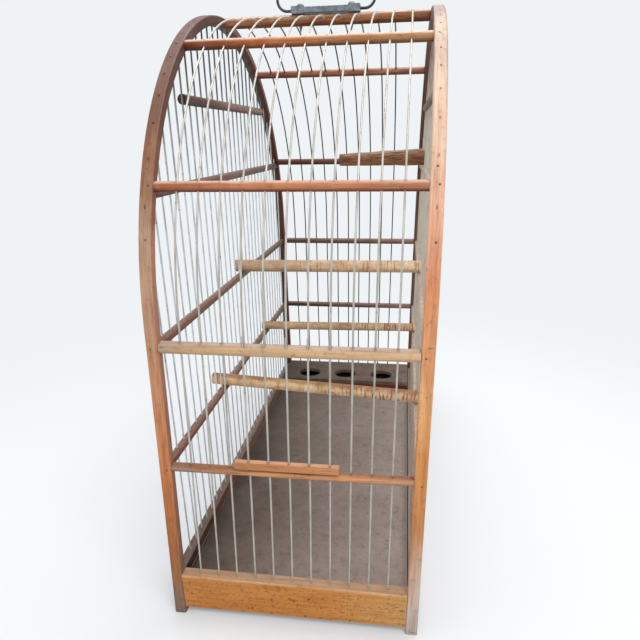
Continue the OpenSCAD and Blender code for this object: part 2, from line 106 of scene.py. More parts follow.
def bent_wood(name, front, back, side_light, inner_shade_hex, streak=0.5, seed=0.0):
    """Bent varnished strip. front, back and side_light are lists of (height in metres, hex colour) for the
    outside of the near and far legs and for the faces towards X, whose tones paint the light and shade that
    fall on those faces. Fine streaks follow the bend."""
    finish, tree, shader = new_finish(name)
    coords = add(tree, "ShaderNodeTexCoord")
    place = coords.outputs["Object"]
    x, y, z = add(tree, "ShaderNodeSeparateXYZ", {0: place}).outputs
    # The way along the strip, round the bend and down the splayed legs, and the way through it.
    out = add(tree, "ShaderNodeMath", {0: y}, operation="ABSOLUTE").outputs[0]
    rise = add(tree, "ShaderNodeMath", {0: z, 1: ARCH_MIDDLE_Z}, operation="SUBTRACT").outputs[0]
    spot = add(tree, "ShaderNodeCombineXYZ", {0: out, 1: rise}).outputs[0]
    radius = add(tree, "ShaderNodeVectorMath", {0: spot}, operation="LENGTH").outputs["Value"]
    angle = add(tree, "ShaderNodeMath", {0: rise, 1: out}, operation="ARCTAN2").outputs[0]
    round_bend = add(tree, "ShaderNodeMath", {0: angle, 1: ARCH_RADIUS}, operation="MULTIPLY").outputs[0]
    leg_out = (math.cos(LEG_SPLAY), math.sin(LEG_SPLAY), 0)
    leg = add(tree, "ShaderNodeVectorMath", {0: spot, 1: leg_out}, operation="DOT_PRODUCT").outputs["Value"]
    on_bend = add(tree, "ShaderNodeMath", {0: z, 1: ARCH_BEND_Z}, operation="GREATER_THAN").outputs[0]
    through = add(tree, "ShaderNodeMix", {0: on_bend, 2: leg, 3: radius}).outputs[0]
    run = add(tree, "ShaderNodeMix", {0: on_bend, 2: rise, 3: round_bend}).outputs[0]
    slow = add(tree, "ShaderNodeMath", {0: run, 1: GRAIN_SHARE, 2: seed},
               operation="MULTIPLY_ADD").outputs[0]
    # The far leg gets streaks of its own.
    far = add(tree, "ShaderNodeMath", {0: y, 1: 0.0}, operation="GREATER_THAN").outputs[0]
    slow = add(tree, "ShaderNodeMath", {0: far, 1: 0.7, 2: slow}, operation="MULTIPLY_ADD").outputs[0]
    fibre = add(tree, "ShaderNodeCombineXYZ", {0: x, 1: through, 2: slow}).outputs[0]
    # Streaks of 1 mm and bands of 4 mm along the grain, worn patches of 4 cm, grime of a few mm.
    fine, band, patch, grime = [
        add(tree, "ShaderNodeTexNoise",
            {"Vector": at, "Scale": scale, "Detail": detail, "Roughness": rough}).outputs[0]
        for at, scale, detail, rough in (
            (fibre, 900, 4, 0.6), (fibre, 240, 3, 0.6), (place, 26, 6, 0.65), (place, 170, 6, 0.72))]
    height = add(tree, "ShaderNodeMath", {0: patch, 1: TONE_WANDER, 2: z},
                 operation="MULTIPLY_ADD").outputs[0]
    height = add(tree, "ShaderNodeMapRange",
                 {0: height, 1: TONE_WANDER / 2, 2: TONE_WANDER / 2 + TONE_TOP}).outputs[0]
    front_tone, back_tone, side_light_tone = [
        add(tree, "ShaderNodeValToRGB", {0: height},
            stops=[(at / TONE_TOP, hex_colour) for at, hex_colour in tones]).outputs[0]
        for tones in (front, back, side_light)]
    to_back = add(tree, "ShaderNodeMapRange", {0: y, 1: -0.06, 2: 0.10}).outputs[0]
    colour = add(tree, "ShaderNodeMix", {0: to_back, 6: front_tone, 7: back_tone},
                 data_type="RGBA").outputs[2]
    side_light_tone = add(tree, "ShaderNodeMix", {0: to_back, 6: side_light_tone, 7: back_tone},
                    data_type="RGBA").outputs[2]
    # Painted light and shade: the faces towards X take tones of their own.
    facing = add(tree, "ShaderNodeSeparateXYZ", {0: coords.outputs["Normal"]}).outputs[0]
    side_light_share = add(tree, "ShaderNodeMath", {0: facing}, operation="ABSOLUTE").outputs[0]
    side_light_share = add(tree, "ShaderNodeMapRange", {0: side_light_share, 1: 0.6, 2: 0.9, 4: 0.85}).outputs[0]
    colour = add(tree, "ShaderNodeMix", {0: side_light_share, 6: colour, 7: side_light_tone},
                 data_type="RGBA").outputs[2]
    # Painted shade: the faces towards the inside of the arch are darkened.
    outwards = add(tree, "ShaderNodeCombineXYZ", {1: y, 2: rise}).outputs[0]
    outwards = add(tree, "ShaderNodeVectorMath", {0: outwards}, operation="NORMALIZE").outputs[0]
    outside = add(tree, "ShaderNodeVectorMath", {0: outwards, 1: coords.outputs["Normal"]},
                  operation="DOT_PRODUCT").outputs["Value"]
    inner_shade = add(tree, "ShaderNodeMapRange", {0: outside, 1: -0.4, 2: -0.8, 4: 0.9}).outputs[0]
    banded = add(tree, "ShaderNodeMapRange", {0: band, 1: 0.42, 2: 0.68, 4: 0.45}).outputs[0]
    streaked = add(tree, "ShaderNodeMapRange", {0: fine, 1: 0.48, 2: 0.70, 4: streak}).outputs[0]
    # Short checks across the strip, and grime that gathers in patches.
    across = add(tree, "ShaderNodeCombineXYZ", {0: x, 1: through, 2: run}).outputs[0]
    across = add(tree, "ShaderNodeVectorMath", {0: across, 1: (0.32, 0.32, 1.0)},
                 operation="MULTIPLY").outputs[0]
    check = add(tree, "ShaderNodeTexNoise",
                {"Vector": across, "Scale": 300, "Detail": 3, "Roughness": 0.6}).outputs[0]
    check = add(tree, "ShaderNodeMapRange", {0: check, 1: 0.715, 2: 0.76, 4: 0.6}).outputs[0]
    dirty = add(tree, "ShaderNodeMapRange", {0: grime, 1: 0.56, 2: 0.76, 4: 0.5}).outputs[0]
    for share, hex_colour, blend in (
            (inner_shade, inner_shade_hex, "MIX"), (banded, "#C79A74", "MULTIPLY"),
            (streaked, "#A8704C", "MULTIPLY"), (check, "#4A2818", "MIX"), (dirty, "#3A2014", "MIX")):
        colour = add(tree, "ShaderNodeMix", {0: share, 6: colour, 7: linear(hex_colour)},
                     data_type="RGBA", blend_type=blend).outputs[2]
    rough = add(tree, "ShaderNodeMapRange", {0: patch, 1: 0.3, 2: 0.7, 3: 0.42, 4: 0.66}).outputs[0]
    relief = add(tree, "ShaderNodeMath", {0: fine, 1: check}, operation="SUBTRACT").outputs[0]
    bump = add(tree, "ShaderNodeBump", {"Height": relief, "Strength": 0.4, "Distance": 0.0004}).outputs[0]
    feed(tree, shader, {"Base Color": colour, "Roughness": rough, "Normal": bump, "IOR": 1.5,
                        "Specular IOR Level": 0.3})
    return finish


paint(["arch_left"], bent_wood(
    "bent_ash_left",
    front=[(0.0, "#80746A"), (0.025, "#9A7050"), (0.07, "#AE6C3C"), (0.13, "#CC824A"), (0.19, "#D29264"),
           (0.26, "#C89C7E"), (0.32, "#B89478"), (0.37, "#95694E"), (0.42, "#765444"), (0.47, "#6A4A42")],
    back=[(0.0, "#584438"), (0.15, "#7E5038"), (0.30, "#74422C"), (0.42, "#784632"), (0.48, "#7A5040")],
    side_light=[(0.0, "#7A6456"), (0.06, "#8E7468"), (0.12, "#946C5A"), (0.18, "#A27E6C"), (0.26, "#AC745C"),
          (0.31, "#A87458"), (0.35, "#84503C"), (0.40, "#663C2C"), (0.47, "#4E3024")],
    inner_shade_hex="#4E2A1C"))
# The pale upper part of this arch is partly a painted highlight from light falling on it.
paint(["arch_right"], bent_wood(
    "bent_ash_right",
    front=[(0.0, "#C8BAB0"), (0.05, "#D0B4A2"), (0.10, "#C88A58"), (0.16, "#DC9654"), (0.22, "#F0B67E"),
           (0.28, "#E89E70"), (0.33, "#F0B696"), (0.38, "#E8C6A8"), (0.42, "#DCC0A6"), (0.48, "#AE9A8C")],
    back=[(0.0, "#6E5A4A"), (0.12, "#8F7660"), (0.24, "#8A6A58"), (0.34, "#5A3C30"), (0.48, "#54382E")],
    side_light=[(0.0, "#B69E8C"), (0.06, "#C69E82"), (0.11, "#B2845E"), (0.17, "#CCA072"), (0.26, "#DCA282"),
          (0.32, "#EEC0A6"), (0.40, "#DCCCBC"), (0.44, "#9A7C6C"), (0.47, "#5E4A42")],
    inner_shade_hex="#6A4638", streak=0.35, seed=0.4))

# ---------------------------------------------------------------- Rails
# Turned rods of light wood, drilled for the wires, and two spacer sticks. Those of the door end have kept a
# salmon or straw-coloured varnish, with a painted highlight on top. It is a dark red-brown under dust at the
# far end and along the left side, and bleached pale along the right one. Undersides are darkened as painted
# shade.

# Distance between wires, and so between the holes in a rail
WIRE_PITCH = 0.016


def old_varnish(name, axis, tones, streak=0.5, streak_hex="#9A6244", grain_mm=1.1, wear_and_edge_highlight_hex="#D9B597",
                worn=0.25, top_light_and_dust_hex=None, top=0.55, underside_shade_hex="#8A6A5A", under=0.85, grime=0.5, gloss=0.42,
                stained=True, gnawed=None, edge_highlight=None, seed=0.0):
    """Old varnished wood whose grain runs along an axis. tones is a list of (metres along it, hex colour).
    Tops get dust and painted light, mostly a painted highlight, and undersides painted shade. gnawed is about
    the height up to which it is pecked, and edge_highlight that of an upper edge painted pale as a highlight."""
    finish, tree, shader = new_finish(name)
    coords = add(tree, "ShaderNodeTexCoord")
    place = coords.outputs["Object"]
    way = "XYZ".index(axis)
    split = add(tree, "ShaderNodeSeparateXYZ", {0: place}).outputs
    run, up = split[way], split[2]
    fibre = add(tree, "ShaderNodeMapping",
                {"Vector": place, "Location": (seed, seed * 1.7, seed * 2.3),
                 "Scale": [GRAIN_SHARE if i == way else 1.0 for i in range(3)]}).outputs[0]
    # Streaks about a millimetre wide, bands of 4 mm, worn patches of 3 cm, grime of a few mm.
    fine, band, patch, spots = [
        add(tree, "ShaderNodeTexNoise",
            {"Vector": at, "Scale": scale, "Detail": detail, "Roughness": rough}).outputs[0]
        for at, scale, detail, rough in (
            (fibre, 1000 / grain_mm, 4, 0.6), (fibre, 260, 3, 0.6), (place, 32, 6, 0.65),
            (place, 190, 6, 0.72))]
    # The tones follow the axis, and patches shift them by up to 25 mm.
    first, last, wander = tones[0][0], tones[-1][0], 0.05
    along = add(tree, "ShaderNodeMath", {0: patch, 1: wander, 2: run}, operation="MULTIPLY_ADD").outputs[0]
    along = add(tree, "ShaderNodeMapRange",
                {0: along, 1: first + wander / 2, 2: last + wander / 2}).outputs[0]
    colour = add(tree, "ShaderNodeValToRGB", {0: along},
                 stops=[((at - first) / (last - first), c) for at, c in tones]).outputs[0]
    bleached = add(tree, "ShaderNodeMapRange", {0: patch, 1: 0.48, 2: 0.70, 4: worn}).outputs[0]
    layers = [(bleached, wear_and_edge_highlight_hex, "MIX")]
    if edge_highlight:
        # Painted highlight: a pale line along an upper edge, in the colour of the worn patches.
        edge_highlight_share = add(tree, "ShaderNodeMath", {0: patch, 1: 0.004, 2: up}, operation="MULTIPLY_ADD").outputs[0]
        edge_highlight_share = add(tree, "ShaderNodeMapRange",
                   {0: edge_highlight_share, 1: edge_highlight - 0.0015, 2: edge_highlight + 0.0015, 4: 0.8}).outputs[0]
        layers.append((edge_highlight_share, wear_and_edge_highlight_hex, "MIX"))
    upwards = add(tree, "ShaderNodeSeparateXYZ", {0: coords.outputs["Normal"]}).outputs[2]
    # Tops: dust mixed with painted light, a painted highlight from light above, and on the sill rail the
    # painted shadow of the door bar.
    if top_light_and_dust_hex:
        top_light_and_dust = add(tree, "ShaderNodeMath", {0: band, 1: 0.5, 2: upwards},
                    operation="MULTIPLY_ADD").outputs[0]
        top_light_and_dust = add(tree, "ShaderNodeMapRange", {0: top_light_and_dust, 1: 0.65, 2: 1.05, 4: top}).outputs[0]
        layers.append((top_light_and_dust, top_light_and_dust_hex, "MIX"))
    # Painted shade: undersides are darkened.
    underside_shade = add(tree, "ShaderNodeMapRange", {0: upwards, 1: -0.25, 2: -0.85, 4: under}).outputs[0]
    banded = add(tree, "ShaderNodeMapRange", {0: band, 1: 0.42, 2: 0.68, 4: streak * 0.9}).outputs[0]
    streaked = add(tree, "ShaderNodeMapRange", {0: fine, 1: 0.47, 2: 0.68, 4: streak}).outputs[0]
    dirty = add(tree, "ShaderNodeMapRange", {0: spots, 1: 0.55, 2: 0.75, 4: grime}).outputs[0]
    if stained:
        # Rust and grease have crept about a millimetre into the wood round the mouth of each hole.
        near = add(tree, "ShaderNodeMath", {0: run, 1: WIRE_PITCH / 2}, operation="ADD").outputs[0]
        near = add(tree, "ShaderNodeMath", {0: near, 1: WIRE_PITCH / 2}, operation="PINGPONG").outputs[0]
        crept = add(tree, "ShaderNodeMath", {0: spots, 1: -0.0025, 2: near},
                    operation="MULTIPLY_ADD").outputs[0]
        crept = add(tree, "ShaderNodeMapRange", {0: crept, 1: 0.0052, 2: 0.0064, 4: 0.55}).outputs[0]
        mouth = add(tree, "ShaderNodeMath", {0: upwards}, operation="ABSOLUTE").outputs[0]
        mouth = add(tree, "ShaderNodeMapRange", {0: mouth, 1: 0.55, 2: 0.95}).outputs[0]
        crept = add(tree, "ShaderNodeMath", {0: crept, 1: mouth}, operation="MULTIPLY").outputs[0]
        dirty = add(tree, "ShaderNodeMath", {0: dirty, 1: crept}, operation="MAXIMUM").outputs[0]
    layers += [(underside_shade, underside_shade_hex, "MULTIPLY"), (banded, "#C79A74", "MULTIPLY"),
               (streaked, streak_hex, "MULTIPLY"), (dirty, "#2E1A10", "MIX")]
    relief = fine
    if gnawed:
        # Beak marks: nicks of 1 to 2 mm, a little longer along the grain, in ragged clusters.
        nicks = add(tree, "ShaderNodeVectorMath",
                    {0: place, 1: [0.75 if i == way else 1.0 for i in range(3)]},
                    operation="MULTIPLY").outputs[0]
        nicks = add(tree, "ShaderNodeTexNoise",
                    {"Vector": nicks, "Scale": 400, "Detail": 4, "Roughness": 0.6,
                     "Distortion": 1.2}).outputs[0]
        nicks = add(tree, "ShaderNodeMapRange", {0: nicks, 1: 0.56, 2: 0.65}).outputs[0]
        low = add(tree, "ShaderNodeTexNoise",
                  {"Vector": place, "Scale": 70, "Detail": 3, "Roughness": 0.6}).outputs[0]
        low = add(tree, "ShaderNodeMath", {0: low, 1: -0.03, 2: up}, operation="MULTIPLY_ADD").outputs[0]
        low = add(tree, "ShaderNodeMapRange", {0: low, 1: gnawed - 0.010, 2: gnawed - 0.016}).outputs[0]
        nicks = add(tree, "ShaderNodeMath", {0: nicks, 1: low}, operation="MULTIPLY").outputs[0]
        pecked = add(tree, "ShaderNodeMath", {0: nicks, 1: 0.8}, operation="MULTIPLY").outputs[0]
        layers.append((pecked, "#6A3812", "MIX"))
        relief = add(tree, "ShaderNodeMath", {0: fine, 1: nicks}, operation="SUBTRACT").outputs[0]
    for share, hex_colour, blend in layers:
        colour = add(tree, "ShaderNodeMix", {0: share, 6: colour, 7: linear(hex_colour)},
                     data_type="RGBA", blend_type=blend).outputs[2]
    rough = add(tree, "ShaderNodeMapRange", {0: patch, 1: 0.3, 2: 0.7, 3: gloss, 4: gloss + 0.25}).outputs[0]
    bump = add(tree, "ShaderNodeBump", {"Height": relief, "Strength": 0.4, "Distance": 0.0004}).outputs[0]
    feed(tree, shader, {"Base Color": colour, "Roughness": rough, "Normal": bump, "IOR": 1.5,
                        "Specular IOR Level": 0.3})
    return finish


paint(["ridge_rail"], old_varnish(
    "ridge_varnish", "X", [(-0.1, "#B87E54"), (-0.04, "#B27A48"), (0.02, "#AC7446"), (0.06, "#A46A3E"),
                           (0.1, "#7E4A28")],
    streak=0.85, streak_hex="#7A4424", top_light_and_dust_hex="#F6DCC8", top=0.85, worn=0.15, underside_shade_hex="#A07864", seed=0.1))
paint(["front_roof_rail"], old_varnish(
    "front_roof_varnish", "X", [(-0.1, "#84442A"), (-0.06, "#98522F"), (-0.035, "#BC6C3C"),
                                (-0.01, "#CA7C46"), (0.02, "#BC8456"), (0.1, "#C6996A")],
    top_light_and_dust_hex="#F6D6C0", top=0.85, seed=0.3))
paint(["front_shoulder_rail"], old_varnish(
    "front_shoulder_varnish", "X", [(-0.1, "#AA6640"), (-0.04, "#C07850"), (0.04, "#CE885E"),
                                    (0.1, "#BE7C5A")],
    streak=0.4, top_light_and_dust_hex="#D8BAA6", top=0.7, underside_shade_hex="#8A5844", under=1.0, seed=0.5))
paint(["front_door_rail"], old_varnish(
    "door_rail_varnish", "X", [(-0.1, "#BAA288"), (-0.06, "#D8B488"), (0.03, "#DCB68C"), (0.1, "#DEBA92")],
    streak=0.35, streak_hex="#B08660", wear_and_edge_highlight_hex="#DCC4A4", top_light_and_dust_hex="#B8A394", top=0.8,
    underside_shade_hex="#E0D4C0", under=0.4, seed=0.7))
# Its top is painted dark as the shadow of the door bar above it.
paint(["front_sill_rail"], old_varnish(
    "sill_rail_varnish", "X", [(-0.1, "#9A887C"), (-0.07, "#B88A6A"), (-0.02, "#DEA268"),
                               (0.05, "#D89C6E"), (0.1, "#CE9E7C")],
    streak=0.45, top_light_and_dust_hex="#90603E", top=0.75, underside_shade_hex="#C4A890", seed=0.9))
paint(["back_roof_rail"], old_varnish(
    "back_roof_varnish", "X", [(-0.1, "#8E4E36"), (0.0, "#A0644A"), (0.1, "#AE7A62")],
    top_light_and_dust_hex="#C69C88", top=0.7, seed=1.1))
paint(["back_shoulder_rail"], old_varnish(
    "dark_shoulder_varnish", "X", [(-0.1, "#56301F"), (-0.03, "#704434"), (0.04, "#764A36"),
                                   (0.1, "#7A5240")],
    wear_and_edge_highlight_hex="#8A6656", top_light_and_dust_hex="#8C6A58", underside_shade_hex="#7A5E50", seed=1.3))
paint(["back_middle_rail", "back_lower_rail"], old_varnish(
    "dark_varnish", "X", [(-0.1, "#44322A"), (-0.03, "#705448"), (0.04, "#84685A"), (0.1, "#987A6A")],
    wear_and_edge_highlight_hex="#8A6E60", top_light_and_dust_hex="#9E8C84", top=0.6, underside_shade_hex="#7A685E", seed=1.35))
paint(["left_upper_rail", "left_middle_rail", "left_lower_rail"], old_varnish(
    "left_dusty_varnish", "Y", [(-0.25, "#7E4634"), (-0.14, "#784C3E"), (0.0, "#785646"), (0.25, "#462E20")],
    wear_and_edge_highlight_hex="#967C6E", top_light_and_dust_hex="#94806F", top=0.5, seed=1.5))
paint(["right_upper_rail", "right_middle_rail", "right_lower_rail"], old_varnish(
    "right_dusty_varnish", "Y", [(-0.25, "#F0C8AA"), (-0.14, "#DCC0A8"), (0.0, "#CCB8A2"), (0.25, "#9C8470")],
    wear_and_edge_highlight_hex="#CCBEAE", top_light_and_dust_hex="#CCBEB0", top=0.5, seed=1.7))
paint(["left_spacer"], old_varnish(
    "left_spacer_wood", "Y", [(-0.13, "#4A2418"), (-0.06, "#6C3C26"), (0.0, "#8C6654"),
                              (0.06, "#987E6C"), (0.13, "#8A745E")],
    wear_and_edge_highlight_hex="#8A7464", top_light_and_dust_hex="#8E7A6C", seed=1.9))
paint(["right_spacer"], old_varnish(
    "right_spacer_wood", "Y", [(-0.13, "#C0A080"), (-0.08, "#8A6238"), (0.0, "#825A34"), (0.13, "#7E5C32")],
    wear_and_edge_highlight_hex="#8A6A54", worn=0.1, underside_shade_hex="#A08C74", seed=2.1))

# ---------------------------------------------------------------- Nails
# Small iron nails, driven through the arches, most of them into the ends of rods, with domed heads
# that have rusted brown.

NAIL_HEAD = 0.0009
# This flattens a ball to a domed head.
DOMED = Matrix.Diagonal((1, 1, 0.3, 1))
ARCH_TOP_Z = ARCH_MIDDLE_Z + ARCH_RADIUS + STRIP_THICK / 2
# The nail of the ridge rail stands this far behind the top of the arch.
RIDGE_NAIL_Y = 0.003
# Height of each nail in a leg, how far it sits off the middle of the strip, and how much higher it
# sits in the far leg and lower in the near one.
NAILED = ((0.1425, 0.0012, 0.0020), (0.2420, -0.0014, 0.0010), (0.3170, 0.0006, -0.0006),
          (0.3526, 0.0014, 0.0003), (0.3625, -0.0004, -0.0006), (0.4510, -0.0010, 0.0016))

driven = []
for side_x in (-ARCH_X, ARCH_X):
    for way in (-1, 1):
        for height, aside, higher in NAILED:
            z = height + higher * way
            if z > ARCH_BEND_Z:
                lean = math.asin((z - ARCH_MIDDLE_Z) / ARCH_RADIUS)
                y = ARCH_RADIUS * math.cos(lean)
            else:
                lean = LEG_SPLAY
                y = ARCH_RADIUS * math.cos(lean) + (ARCH_BEND_Z - z) * math.tan(lean)
            y += STRIP_THICK / 2 * math.cos(lean)
            z += STRIP_THICK / 2 * math.sin(lean)
            outwards = Matrix.Rotation(-way * (math.pi / 2 - lean), 4, "X")
            driven.append(Matrix.Translation((side_x + aside, way * y, z)) @ outwards)
    driven.append(Matrix.Translation((side_x, RIDGE_NAIL_Y, ARCH_TOP_Z)))

heads = bmesh.new()
for spot in driven:
    bmesh.ops.create_uvsphere(heads, u_segments=16, v_segments=8, radius=NAIL_HEAD, matrix=spot @ DOMED)
for face in heads.faces:
    face.smooth = True
heads_mesh = bpy.data.meshes.new("rail_nails")
heads.to_mesh(heads_mesh)
heads.free()
rail_nails = bpy.data.objects.new("rail_nails", heads_mesh)
bpy.context.collection.objects.link(rail_nails)


def old_iron(name, bare, worn, rust_hex, metallic, rough):
    """Dull iron: bare metal clouded with oxide, and rust in fine specks."""
    finish, tree, shader = new_finish(name)
    place = add(tree, "ShaderNodeTexCoord").outputs["Object"]
    # Clouds of oxide 5 mm across, and specks of rust a millimetre across.
    cloud, speck = [
        add(tree, "ShaderNodeTexNoise",
            {"Vector": place, "Scale": scale, "Detail": detail, "Roughness": grit}).outputs[0]
        for scale, detail, grit in ((180, 5, 0.6), (900, 4, 0.7))]
    clouded = add(tree, "ShaderNodeMapRange", {0: cloud, 1: 0.4, 2: 0.65}).outputs[0]
    colour = add(tree, "ShaderNodeMix", {0: clouded, 6: linear(bare), 7: linear(worn)},
                 data_type="RGBA").outputs[2]
    rusty = add(tree, "ShaderNodeMapRange", {0: speck, 1: 0.58, 2: 0.68, 4: 0.8}).outputs[0]
    colour = add(tree, "ShaderNodeMix", {0: rusty, 6: colour, 7: linear(rust_hex)},
                 data_type="RGBA").outputs[2]
    bump = add(tree, "ShaderNodeBump", {"Height": speck, "Strength": 0.3, "Distance": 0.0002}).outputs[0]
    feed(tree, shader, {"Base Color": colour, "Metallic": metallic, "Roughness": rough, "Normal": bump})
    return finish


rail_nails.data.materials.append(
    old_iron("nail_iron", "#7E6450", "#604838", "#6E4630", metallic=0.1, rough=0.75))
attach(rail_nails, "cage")

# ---------------------------------------------------------------- Boards of the base
# Planed softwood boards between the legs, with the wires in holes in their top edges. The front one is
# golden, greyed on top by dust and painted light, with a painted highlight along its upper edge, and the
# others are browner and dirtier. The left one is painted very dark at its near end as shade in the corner.
# Birds have pecked at all but the left one.

paint(["front_board"], old_varnish(
    "front_board_pine", "X", [(-0.1, "#C8843E"), (-0.04, "#CC863A"), (0.03, "#CE8A40"), (0.1, "#D2A05E")],
    streak=0.35, streak_hex="#B07838", grain_mm=1.6, wear_and_edge_highlight_hex="#EAB886", worn=0.12, top_light_and_dust_hex="#AE8C6E",
    top=0.95, underside_shade_hex="#A08068", grime=0.3, stained=False, gnawed=0.036, edge_highlight=0.041, seed=2.3))
paint(["back_board"], old_varnish(
    "back_board_pine", "X", [(-0.1, "#7A5234"), (0.0, "#8A6038"), (0.1, "#7A5638")],
    grain_mm=1.6, wear_and_edge_highlight_hex="#9A7850", top_light_and_dust_hex="#7E6A5A", top=0.8, stained=False, gnawed=0.024, seed=2.5))
# The near end is painted very dark: painted shade in the corner by the front board and the leg.
paint(["left_board", "tray_front"], old_varnish(
    "left_board_pine", "Y", [(-0.25, "#1E140E"), (-0.21, "#44302A"), (-0.15, "#6C4A3C"),
                             (-0.08, "#8C6450"), (0.0, "#8A6C5C"), (0.25, "#786454")],
    grain_mm=1.6, wear_and_edge_highlight_hex="#927C6A", worn=0.3, top_light_and_dust_hex="#6C5A50", top=0.8, stained=False, seed=2.7))
paint(["right_board"], old_varnish(
    "right_board_pine", "Y", [(-0.25, "#A88878"), (-0.12, "#98786A"), (0.05, "#8C7064"), (0.25, "#7C6456")],
    grain_mm=1.6, wear_and_edge_highlight_hex="#A89484", worn=0.4, top_light_and_dust_hex="#8E7E70", top=0.8, stained=False, gnawed=0.030,
    seed=2.9))

# ---------------------------------------------------------------- Wires
# Tinned iron wire, drawn straight and bent over the roof through the drilled rails. The tin is a dull
# cream-grey with rust specks, painted pale in front and low down where light falls on it, and painted dark as
# shade at the back and the top.


def tinned_wire(name, axis, lit_at, shaded_at, lit_hex="#C2BEB6", shaded_hex="#3A3838"):
    """Dull tinned wire, painted pale as lit at one place along an axis and painted dark as shade at another,
    with specks of rust. Stains shift the change by a fifth of the way either way."""
    finish, tree, shader = new_finish(name)
    place = add(tree, "ShaderNodeTexCoord").outputs["Object"]
    speck = add(tree, "ShaderNodeTexNoise",
                {"Vector": place, "Scale": 420, "Detail": 5, "Roughness": 0.7}).outputs[0]
    stain = add(tree, "ShaderNodeTexNoise", {"Vector": place, "Scale": 60, "Detail": 3}).outputs[0]
    run = add(tree, "ShaderNodeSeparateXYZ", {0: place}).outputs["XYZ".index(axis)]
    wander = (shaded_at - lit_at) * 0.4
    # Painted light and shade along the axis: pale where lit, dark where shaded.
    light_falloff = add(tree, "ShaderNodeMath", {0: stain, 1: wander, 2: run}, operation="MULTIPLY_ADD").outputs[0]
    light_falloff = add(tree, "ShaderNodeMapRange",
              {0: light_falloff, 1: lit_at + wander / 2, 2: shaded_at + wander / 2}).outputs[0]
    colour = add(tree, "ShaderNodeMix", {0: light_falloff, 6: linear(lit_hex), 7: linear(shaded_hex)},
                 data_type="RGBA").outputs[2]
    dull = add(tree, "ShaderNodeMapRange", {0: stain, 1: 0.4, 2: 0.7, 4: 0.35}).outputs[0]
    rust = add(tree, "ShaderNodeMapRange", {0: speck, 1: 0.60, 2: 0.70}).outputs[0]
    for share, hex_colour, blend in ((dull, "#A89C88", "MULTIPLY"), (rust, "#5A3A26", "MIX")):
        colour = add(tree, "ShaderNodeMix", {0: share, 6: colour, 7: linear(hex_colour)},
                     data_type="RGBA", blend_type=blend).outputs[2]
    metal = add(tree, "ShaderNodeMapRange", {0: rust, 3: 0.65, 4: 0.1}).outputs[0]
    rough = add(tree, "ShaderNodeMapRange", {0: stain, 1: 0.3, 2: 0.7, 3: 0.45, 4: 0.65}).outputs[0]
    bump = add(tree, "ShaderNodeBump", {"Height": speck, "Strength": 0.3, "Distance": 0.0001}).outputs[0]
    feed(tree, shader, {"Base Color": colour, "Metallic": metal, "Roughness": rough, "Normal": bump})
    return finish


paint(["hoop_wires", "door_bay_wires"], tinned_wire("roof_wire_tin", "Y", -0.04, 0.06))
paint(["sill_wires"], tinned_wire("sill_wire_tin", "Y", -0.1, 0.1))
paint(["left_wires"], tinned_wire("left_wire_tin", "Z", 0.34, 0.44, "#D4DADD", "#55585A"))
paint(["right_wires"], tinned_wire("right_wire_tin", "Z", 0.38, 0.50, "#D2C8BA", "#7A6E64"))

# ---------------------------------------------------------------- Door
# A flat bar with five wires let into it. It lifts along the leaning front, the wires sliding through
# a second row of holes in the rail above. The bar's varnish is worn pale by handling.

# Its top is paler with dust and a painted highlight.
paint(["door_bar"], old_varnish(
    "door_bar_varnish", "X", [(-0.06, "#BC7C4C"), (0.0, "#CC8C5A"), (0.06, "#CA8A58")],
    streak=0.35, top_light_and_dust_hex="#DCB090", top=0.6, underside_shade_hex="#9A5C40", seed=3.1))
paint(["door_wires"], tinned_wire("door_wire_tin", "Y", -0.2, 0.2))

# ---------------------------------------------------------------- Perches
# Peeled round rods with no varnish, smooth and greasy from the birds' feet, and gnawed in rings
# towards the right. One end is notched over a wire, the other pokes out between two left wires.


